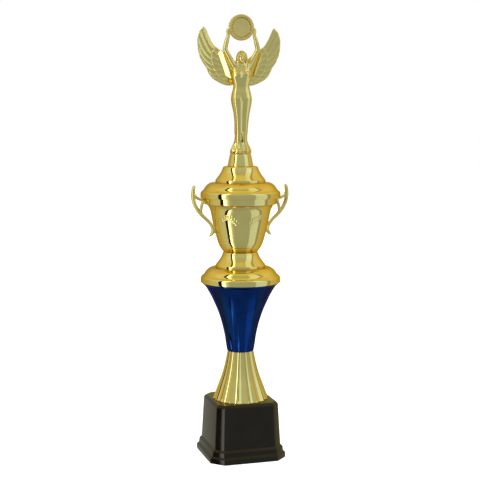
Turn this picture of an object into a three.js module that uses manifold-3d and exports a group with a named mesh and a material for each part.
// Column trophy: a weighted square base, a fluted column, a flared cone, a two-handled cup with a
// lift-off lid, and a winged figure that holds up a blank medallion.
// Millimetres, +Z up, origin at the centre of the underside, front towards -Y.
import * as THREE from 'three';
import { mergeVertices } from 'three/addons/utils/BufferGeometryUtils.js';
import { ConvexGeometry } from 'three/addons/geometries/ConvexGeometry.js';
import Module from 'manifold-3d';

const wasm = await Module();
wasm.setup();

// ---- driving dimensions ------------------------------------------------------------------------

const BASE_TOP = 80.5;
const COLUMN_TOP = 149;
const CONE_TOP = 247.4;
const FLANGE_HEIGHT = 21;
const BELL_HEIGHT = 22.6;
const CUP_FLOOR = CONE_TOP + FLANGE_HEIGHT + BELL_HEIGHT;
const CUP_RIM = 366.4;
const PEDESTAL_FLOOR = CUP_RIM + FLANGE_HEIGHT + BELL_HEIGHT;
const PEDESTAL_TOP = PEDESTAL_FLOOR + 17;
const OVERALL_HEIGHT = 618;

const WALL = 2;
const GAP = 0.3;
const FLUTES = 18;
const ROUND_SIDES = 32;

// M6 hardware, shared by the tie rod through the base and the stud through the lid.
const ROD_RADIUS = 3;
const ROD_CLEARANCE = 3.4;
const THREAD_HOLE = 3.1;
const NUT_ACROSS_FLATS = 10;
const NUT_HEIGHT = 5;
const THIN_NUT_HEIGHT = 3;
const WASHER_RADIUS = 9;
const WASHER_HEIGHT = 1.6;

// Square base: half-width and corner cut at each height.
const PLINTH_SECTIONS = [[0, 55, 16.5], [7, 55, 16.5], [9.5, 51.7, 14]];
const STEP_SECTIONS = [[0, 51, 13], [16, 51, 13], [18.5, 48, 11]];
const BODY_SECTIONS = [[0, 48.9, 11], [77, 45, 10], [BASE_TOP, 42, 9]];
const BASE_WALL = 3;
const BALLAST_FLOOR = 16;
const COVER_FLOOR = 1.5;
const COVER_THICKNESS = 2;

// Outer radii of the turned parts, [radius, height].
const COLUMN_OUTLINE = [[39.6, 80.5], [34.7, 93], [29.8, 106], [25.5, 119], [22, 132.5], [18.7, 149]];
const CONE_OUTLINE = [
  [18.9, 149], [20.8, 160], [22.4, 171], [25, 183], [29.5, 200], [35.2, 214], [42.1, 229], [50.6, 243],
  [53.2, 245.4], [53.4, 246], [53.4, 247.4],
];
const BOWL_OUTLINE = [
  [24.3, 291], [28.7, 297], [32.1, 305.5], [34.7, 314], [37.6, 325.5], [39.9, 338], [41.4, 345],
  [43.1, 350.5], [45.2, 354.4], [48, 357], [50.7, 357.6], [50.9, 366.4],
];

// The flange and bell mouldings, heights above their own underside.
const FLANGE_OUTLINE = [
  [51.8, 0], [55.7, 0], [56.1, 0.4], [56.1, 5.8], [55.2, 8], [53.2, 9.7], [51.8, 10.9],
  [49.6, 14.3], [47.2, 17.1], [44, 19.6], [40.6, FLANGE_HEIGHT], [36.5, FLANGE_HEIGHT],
];
const BELL_OUTLINE = [[35, 0], [35, 4.5], [31.5, 8.7], [27, 14.7], [24.6, 20], [24, BELL_HEIGHT]];
const FOOT_SPIGOT_RADIUS = 46.6;
const LID_SPIGOT_RADIUS = 48.3;
const SPIGOT_DEPTH = 5;

// Cast handles: centre lines as [distance from the axis, height].
const HANDLE_BAR = [
  [67.4, 381], [68.4, 376], [68.6, 369], [67.3, 361], [62.2, 350.6], [55.1, 342], [47.4, 334.9],
  [41.6, 327], [39.9, 320.5], [41.4, 316], [44.2, 313.6],
];
const HANDLE_BRANCH = [[67.9, 371.5], [63.6, 367.2], [59, 364.8], [54, 363.6], [47, 363.2]];
const HANDLE_STRUT = [[53.4, 362.5], [55.6, 357.5], [56.8, 351.5], [57.2, 344.4]];
const HANDLE_LUG = [[33, 322.5], [36, 322.5], [40, 322.5]];
const HANDLE_RADIUS = 2.4;
const HANDLE_BRANCH_RADIUS = 2;

// Figure: [half-width, height, forward shift of the section].
const FIGURE_SECTIONS = [
  [14.3, 427, 0], [13.8, 432, 0], [10.7, 440, 0.5], [7.8, 451, 1], [8.6, 466, 2], [10.2, 482, 3],
  [13, 494, 4], [14, 503.5, 4], [10.6, 520, 4], [13.6, 531, 4.5], [13, 541, 4.5], [12.6, 548, 5],
  [8, 553, 5.5], [3.6, 555, 6], [0, 556, 6],
];
const FIGURE_DEPTH_RATIO = 0.68;
const HEAD_CENTRE = [0, -6, 559.8];
const HEAD_RADII = [7, 7.6, 8.6];
const ARM_PATH = [[10, -5, 547.5], [18, -5, 559], [23.6, -5, 570.5], [22, -4.6, 582], [17.2, -4.2, 592]];
const ARM_RADIUS = 3.2;

const DISC_RADIUS = 17.8;
const DISC_THICKNESS = 6;
const DISC_CENTRE_Z = OVERALL_HEIGHT - DISC_RADIUS;
const DISC_FORWARD = 4;
const MEDALLION_RADIUS = 13;
const MEDALLION_THICKNESS = 1.5;

// Wing outline seen from the front, [distance from the axis, height].
const WING_OUTLINE = [
  [50.5, 602], [53.6, 599], [57.5, 594], [59.8, 586], [60.2, 577], [58, 563], [54.5, 555], [48.2, 546],
  [44, 536.4], [38.5, 530], [32, 526], [21, 521], [11.5, 520.7], [5, 527], [5, 549], [14, 559],
  [27, 569], [35.5, 575.5], [40.5, 583], [44.3, 591], [46.6, 597],
];
const WING_BACK = 6.5;
const WING_THICKNESS = 4;

// ---- materials ---------------------------------------------------------------------------------

const gold = new THREE.MeshStandardMaterial({ color: 0xd9b54a, roughness: 0.18, metalness: 1 });
const satinGold = new THREE.MeshStandardMaterial({ color: 0xd8b24c, roughness: 0.45, metalness: 1 });
const blue = new THREE.MeshStandardMaterial({ color: 0x0a2f7a, roughness: 0.2, metalness: 1 });
const black = new THREE.MeshStandardMaterial({ color: 0x1c1813, roughness: 0.15, metalness: 0 });
const board = new THREE.MeshStandardMaterial({ color: 0x2a2a2a, roughness: 0.8, metalness: 0 });
const cement = new THREE.MeshStandardMaterial({ color: 0x8d8a84, roughness: 0.95, metalness: 0 });
const steel = new THREE.MeshStandardMaterial({ color: 0xb5b7ba, roughness: 0.35, metalness: 1 });
const brass = new THREE.MeshStandardMaterial({ color: 0xc9a24a, roughness: 0.3, metalness: 1 });

const group = new THREE.Group();

function addPart(name, geometry, material) {
  const mesh = new THREE.Mesh(geometry, material);
  mesh.name = name;
  group.add(mesh);
  return mesh;
}

// ---- joining and cutting -----------------------------------------------------------------------

// A closed three.js geometry as a solid: shared corners are merged and slivers left out.
function toSolid(geometry) {
  const plain = geometry.clone();
  plain.deleteAttribute('normal');
  plain.deleteAttribute('uv');
  const merged = mergeVertices(plain, 1e-4);
  const corners = merged.index.array;
  const kept = [];
  for (let i = 0; i < corners.length; i += 3) {
    const [a, b, c] = [corners[i], corners[i + 1], corners[i + 2]];
    if (a !== b && b !== c && c !== a) kept.push(a, b, c);
  }
  return new wasm.Manifold(new wasm.Mesh({
    numProp: 3,
    vertProperties: new Float32Array(merged.attributes.position.array),
    triVerts: new Uint32Array(kept),
  }));
}

function toGeometry(solid) {
  const { vertProperties, triVerts } = solid.getMesh();
  const geometry = new THREE.BufferGeometry();
  geometry.setAttribute('position', new THREE.BufferAttribute(vertProperties, 3));
  geometry.setIndex(new THREE.BufferAttribute(triVerts, 1));
  geometry.computeVertexNormals();
  return geometry;
}

function joined(geometries) {
  return geometries.map(toSolid).reduce((whole, piece) => whole.add(piece));
}

// ---- shape helpers -----------------------------------------------------------------------------

// A ring or disc turned about +Z from a profile of [radius, height] points.
function turned(profile, sides = ROUND_SIDES) {
  const points = profile.map(([radius, height]) => new THREE.Vector2(radius, height));
  return new THREE.LatheGeometry(points, sides).rotateX(Math.PI / 2);
}

const raised = (outline, height) => outline.map(([radius, z]) => [radius, z + height]);

const shrunk = (outline, amount) => outline.map(([radius, z]) => [radius - amount, z]);

// A closed band between an outer line going up and an inner line coming down.
function closedBand(outer, inner) {
  return [...outer, ...inner, outer[0]];
}

// A convex block through square sections with cut corners, [height, half-width, corner cut].
function squareBlock(sections) {
  const points = [];
  for (const [height, half, cut] of sections) {
    for (const sx of [-1, 1]) {
      for (const sy of [-1, 1]) {
        points.push(new THREE.Vector3(sx * half, sy * (half - cut), height));
        points.push(new THREE.Vector3(sx * (half - cut), sy * half, height));
      }
    }
  }
  return new ConvexGeometry(points);
}

function plug(radius, bottom, top) {
  return turned([[0, bottom], [radius, bottom], [radius, top], [0, top]], 24);
}

// A round bar along a smooth line through the given points.
function bar(points, radius, steps, sides = 8) {
  const section = new THREE.Shape();
  for (let i = 0; i < sides; i += 1) {
    const angle = (2 * Math.PI * i) / sides;
    section[i ? 'lineTo' : 'moveTo'](radius * Math.cos(angle), radius * Math.sin(angle));
  }
  section.closePath();
  const path = new THREE.CatmullRomCurve3(points.map(([x, y, z]) => new THREE.Vector3(x, y, z)));
  return new THREE.ExtrudeGeometry(section, { steps, bevelEnabled: false, extrudePath: path });
}

// ---- base --------------------------------------------------------------------------------------

function baseShell() {
  const outside = joined([PLINTH_SECTIONS, STEP_SECTIONS, BODY_SECTIONS].map(squareBlock));
  const inset = ([height, half, cut]) => [height, half - BASE_WALL, cut - 1];
  const hollow = joined([
    squareBlock([[-1, 55, 16.5], [7, 55, 16.5]].map(inset)),
    squareBlock([[-1, 48.9, 11], [BASE_TOP - BASE_WALL, 45, 10]].map(inset)),
    plug(ROD_CLEARANCE, 0, BASE_TOP + 1),
  ]);
  return toGeometry(outside.subtract(hollow));
}

function ballast() {
  const block = squareBlock([[BALLAST_FLOOR, 44.3, 10], [BASE_TOP - BASE_WALL, 41.3, 9]]);
  return toGeometry(toSolid(block).subtract(toSolid(plug(ROD_CLEARANCE, 0, BASE_TOP))));
}

addPart('base_shell', baseShell(), black);
addPart('base_ballast', ballast(), cement);
addPart(
  'base_cover',
  squareBlock([[COVER_FLOOR, 51.6, 15.4], [COVER_FLOOR + COVER_THICKNESS, 51.6, 15.4]]),
  board,
);

// ---- hardware ----------------------------------------------------------------------------------

function threadedRod(bottom, top) {
  const chamfer = 0.8;
  return turned([
    [0, bottom], [ROD_RADIUS - chamfer, bottom], [ROD_RADIUS, bottom + chamfer],
    [ROD_RADIUS, top - chamfer], [ROD_RADIUS - chamfer, top], [0, top],
  ], 24);
}

function hexNut(height) {
  const corner = NUT_ACROSS_FLATS / Math.sqrt(3);
  const outline = [];
  for (let i = 0; i < 6; i += 1) {
    const angle = (Math.PI * i) / 3;
    outline.push(new THREE.Vector2(corner * Math.cos(angle), corner * Math.sin(angle)));
  }
  const shape = new THREE.Shape(outline);
  shape.holes.push(new THREE.Path().absarc(0, 0, THREAD_HOLE, 0, 2 * Math.PI, true));
  return new THREE.ExtrudeGeometry(shape, { depth: height, bevelEnabled: false, curveSegments: 24 });
}

function washer() {
  return turned([
    [THREAD_HOLE, 0], [WASHER_RADIUS, 0], [WASHER_RADIUS, WASHER_HEIGHT], [THREAD_HOLE, WASHER_HEIGHT],
    [THREAD_HOLE, 0],
  ], 24);
}

const ROD_BOTTOM = 6;
const CUP_WASHER_Z = CUP_FLOOR + WALL;
const LID_WEB_Z = CUP_RIM + FLANGE_HEIGHT - WALL;

addPart('tie_rod', threadedRod(ROD_BOTTOM, CUP_WASHER_Z + WASHER_HEIGHT + NUT_HEIGHT + 3), steel);
addPart('rod_lower_washer', washer(), steel).position.z = BALLAST_FLOOR - WASHER_HEIGHT;
addPart('rod_lower_nut', hexNut(NUT_HEIGHT), steel).position.z = BALLAST_FLOOR - WASHER_HEIGHT - NUT_HEIGHT;
addPart('rod_upper_washer', washer(), steel).position.z = CUP_WASHER_Z;
addPart('rod_upper_nut', hexNut(NUT_HEIGHT), steel).position.z = CUP_WASHER_Z + WASHER_HEIGHT;

addPart('lid_stud', threadedRod(LID_WEB_Z - 9, PEDESTAL_TOP - 1), steel);
addPart('lid_washer', washer(), steel).position.z = LID_WEB_Z - WASHER_HEIGHT;
addPart('lid_nut', hexNut(NUT_HEIGHT), steel).position.z = LID_WEB_Z - WASHER_HEIGHT - NUT_HEIGHT;
addPart('lid_top_nut', hexNut(THIN_NUT_HEIGHT), steel).position.z = PEDESTAL_FLOOR;

// ---- column and cone ---------------------------------------------------------------------------

// A turned shell whose outer line is pinched in halfway between each pair of ridges.
function flutedShell(outer, inner, depthAt) {
  const profile = closedBand(outer, inner);
  const points = profile.map(([radius, height]) => new THREE.Vector2(radius, height));
  const geometry = new THREE.LatheGeometry(points, 2 * FLUTES);
  const position = geometry.attributes.position;
  for (let side = 1; side < 2 * FLUTES; side += 2) {
    profile.forEach(([radius, height], i) => {
      const onOuterLine = i < outer.length || i === profile.length - 1;
      if (!onOuterLine) return;
      const vertex = side * profile.length + i;
      const scale = 1 - depthAt(radius, height) / radius;
      position.setX(vertex, position.getX(vertex) * scale);
      position.setZ(vertex, position.getZ(vertex) * scale);
    });
  }
  return geometry.rotateX(Math.PI / 2);
}

const COLUMN_FLUTE_RATIO = 0.055;
const CONE_FLUTE_DEPTH = 0.8;
const CONE_FLUTE_END = 214;

function column() {
  const inner = [
    [ROD_CLEARANCE, COLUMN_TOP], [ROD_CLEARANCE, COLUMN_TOP - WALL], [15.4, COLUMN_TOP - WALL],
    [22.2, 119], [35.2, BASE_TOP],
  ];
  return flutedShell(COLUMN_OUTLINE, inner, (radius) => radius * COLUMN_FLUTE_RATIO);
}

function cone() {
  const inner = [
    [50, CONE_TOP], [39.6, 229], [27.2, 200], [19, 165], [17, COLUMN_TOP + WALL],
    [ROD_CLEARANCE, COLUMN_TOP + WALL], [ROD_CLEARANCE, COLUMN_TOP],
  ];
  const fade = (height) => Math.max(0, (CONE_FLUTE_END - height) / (CONE_FLUTE_END - COLUMN_TOP));
  return flutedShell(CONE_OUTLINE, inner, (radius, height) => CONE_FLUTE_DEPTH * fade(height));
}

addPart('fluted_column', column(), gold);
addPart('flared_cone', cone(), blue);

// ---- flange and bell mouldings, used under the cup and again as its lid ------------------------

function flange(floor, spigotRadius) {
  const inner = [
    [ROD_CLEARANCE, FLANGE_HEIGHT], [ROD_CLEARANCE, FLANGE_HEIGHT - WALL], [39, FLANGE_HEIGHT - WALL],
    [43.6, 17.4], [47.2, 13.2], [49.8, 9], [50.2, 7.6], [50.2, 2.5], [spigotRadius - WALL, 2.5],
    [spigotRadius - WALL, -SPIGOT_DEPTH], [spigotRadius, -SPIGOT_DEPTH], [spigotRadius, 0],
  ];
  return turned(raised(closedBand(FLANGE_OUTLINE, inner), floor));
}

function bell(floor) {
  const inner = [
    [ROD_CLEARANCE, BELL_HEIGHT], [ROD_CLEARANCE, BELL_HEIGHT - WALL], [22.4, BELL_HEIGHT - WALL],
    [24.8, 14.7], [29, 8.7], [33, 3.8], [33, 0],
  ];
  return turned(raised(closedBand(BELL_OUTLINE, inner), floor));
}

addPart('foot_flange', flange(CONE_TOP, FOOT_SPIGOT_RADIUS), gold);
addPart('foot_bell', bell(CONE_TOP + FLANGE_HEIGHT), gold);
addPart('lid_flange', flange(CUP_RIM, LID_SPIGOT_RADIUS), gold);
addPart('lid_bell', bell(CUP_RIM + FLANGE_HEIGHT), gold);

// ---- cup and handles ---------------------------------------------------------------------------

function cupBowl() {
  const inner = [
    [48.7, CUP_RIM], [48.7, 359.8], [46.2, 358.2], [43.2, 354.6], [41.2, 350.5], [39.4, 345], [37.9, 338],
    [35.6, 325.5], [32.7, 314], [29.8, 305.5], [22.5, CUP_WASHER_Z], [ROD_CLEARANCE, CUP_WASHER_Z],
    [ROD_CLEARANCE, CUP_FLOOR],
  ];
  return turned(closedBand(BOWL_OUTLINE, inner));
}

function handle(side) {
  const placed = (line) => line.map(([x, z]) => [side * x, 0, z]);
  const casting = joined([
    bar(placed(HANDLE_BAR), HANDLE_RADIUS, 22),
    bar(placed(HANDLE_BRANCH), HANDLE_BRANCH_RADIUS, 8),
    bar(placed(HANDLE_STRUT), HANDLE_BRANCH_RADIUS, 5),
    bar(placed(HANDLE_LUG), HANDLE_RADIUS, 1),
  ]);
  const bowlSpace = [[0, CUP_FLOOR], ...shrunk(BOWL_OUTLINE, -GAP), [0, CUP_RIM]];
  return toGeometry(casting.subtract(toSolid(turned(bowlSpace))));
}

addPart('cup_bowl', cupBowl(), gold);
addPart('left_handle', handle(-1), gold);
addPart('right_handle', handle(1), gold);

// ---- figure ------------------------------------------------------------------------------------

const INSERT_RADIUS = 5;
const INSERT_FLOOR = PEDESTAL_FLOOR + 7;

function pedestal() {
  return turned([
    [18, PEDESTAL_FLOOR], [14.6, PEDESTAL_TOP], [INSERT_RADIUS + GAP, PEDESTAL_TOP],
    [INSERT_RADIUS + GAP, INSERT_FLOOR], [12, INSERT_FLOOR], [12, PEDESTAL_FLOOR], [18, PEDESTAL_FLOOR],
  ], 24);
}

function insert() {
  const [low, high] = [INSERT_FLOOR, PEDESTAL_TOP - 0.5];
  return turned([
    [THREAD_HOLE, low], [INSERT_RADIUS, low], [INSERT_RADIUS, high], [THREAD_HOLE, high],
    [THREAD_HOLE, low],
  ], 24);
}

// Legs, robe and torso: a turned outline flattened front to back and leaning forward with height.
function torso(grow) {
  const ends = [[0, FIGURE_SECTIONS[0][1]]];
  const outline = FIGURE_SECTIONS.map(([half, height]) => [half > 0 ? half + grow : 0, height]);
  const geometry = turned([...ends, ...outline], 20);
  const position = geometry.attributes.position;
  for (let i = 0; i < position.count; i += 1) {
    const height = position.getZ(i);
    const above = Math.max(1, FIGURE_SECTIONS.findIndex((section) => section[1] >= height - 1e-3));
    const [, lowZ, lowShift] = FIGURE_SECTIONS[above - 1];
    const [, highZ, highShift] = FIGURE_SECTIONS[above];
    const shift = THREE.MathUtils.mapLinear(height, lowZ, highZ, lowShift, highShift);
    position.setY(i, position.getY(i) * FIGURE_DEPTH_RATIO - shift);
  }
  return geometry;
}

function figureSolid(grow) {
  const head = new THREE.SphereGeometry(1, 14, 10);
  head.scale(...HEAD_RADII.map((radius) => radius + grow)).translate(...HEAD_CENTRE);
  const arms = [-1, 1].map((side) => {
    const path = ARM_PATH.map(([x, y, z]) => [side * x, y, z]);
    return bar(path, ARM_RADIUS + grow, 9);
  });
  return joined([torso(grow), head, ...arms]);
}

function medallionHolder() {
  const [rim, seat, floor] = [DISC_RADIUS, MEDALLION_RADIUS + GAP, DISC_THICKNESS - 2.5];
  return new THREE.LatheGeometry([
    [0, 0], [rim - 0.9, 0], [rim, 1], [rim, DISC_THICKNESS - 1], [rim - 0.9, DISC_THICKNESS],
    [seat + 1.4, DISC_THICKNESS], [seat, DISC_THICKNESS - 0.8], [seat, floor], [0, floor],
  ].map(([radius, height]) => new THREE.Vector2(radius, height)), ROUND_SIDES);
}

function medallion() {
  const geometry = new THREE.CylinderGeometry(
    MEDALLION_RADIUS, MEDALLION_RADIUS, MEDALLION_THICKNESS, ROUND_SIDES,
  );
  return geometry.translate(0, DISC_THICKNESS - 2.5 + MEDALLION_THICKNESS / 2, 0);
}

// Turns a disc made along +Y to face -Y and lifts it between the figure's hands.
function facingFront(geometry) {
  const back = DISC_THICKNESS / 2 - DISC_FORWARD;
  return geometry.rotateZ(Math.PI).translate(0, back, DISC_CENTRE_Z);
}

function wing(side) {
  const outline = new THREE.Shape(WING_OUTLINE.map(([x, z]) => new THREE.Vector2(side * x, z)));
  const blade = new THREE.ExtrudeGeometry(outline, { depth: WING_THICKNESS, bevelEnabled: false });
  blade.rotateX(Math.PI / 2).translate(0, WING_BACK, 0);
  return toGeometry(toSolid(blade).subtract(figureSolid(GAP)));
}

const holder = facingFront(medallionHolder());
const holderSpace = facingFront(new THREE.CylinderGeometry(
  DISC_RADIUS + GAP, DISC_RADIUS + GAP, DISC_THICKNESS + 2 * GAP, ROUND_SIDES,
).translate(0, DISC_THICKNESS / 2, 0));

addPart('figure_pedestal', pedestal(), gold);
addPart('figure_insert', insert(), brass);
addPart('figure_body', toGeometry(figureSolid(0).subtract(toSolid(holderSpace))), gold);
addPart('left_wing', wing(-1), gold);
addPart('right_wing', wing(1), gold);
addPart('medallion_holder', holder, gold);
addPart('medallion', facingFront(medallion()), satinGold);

export default group;
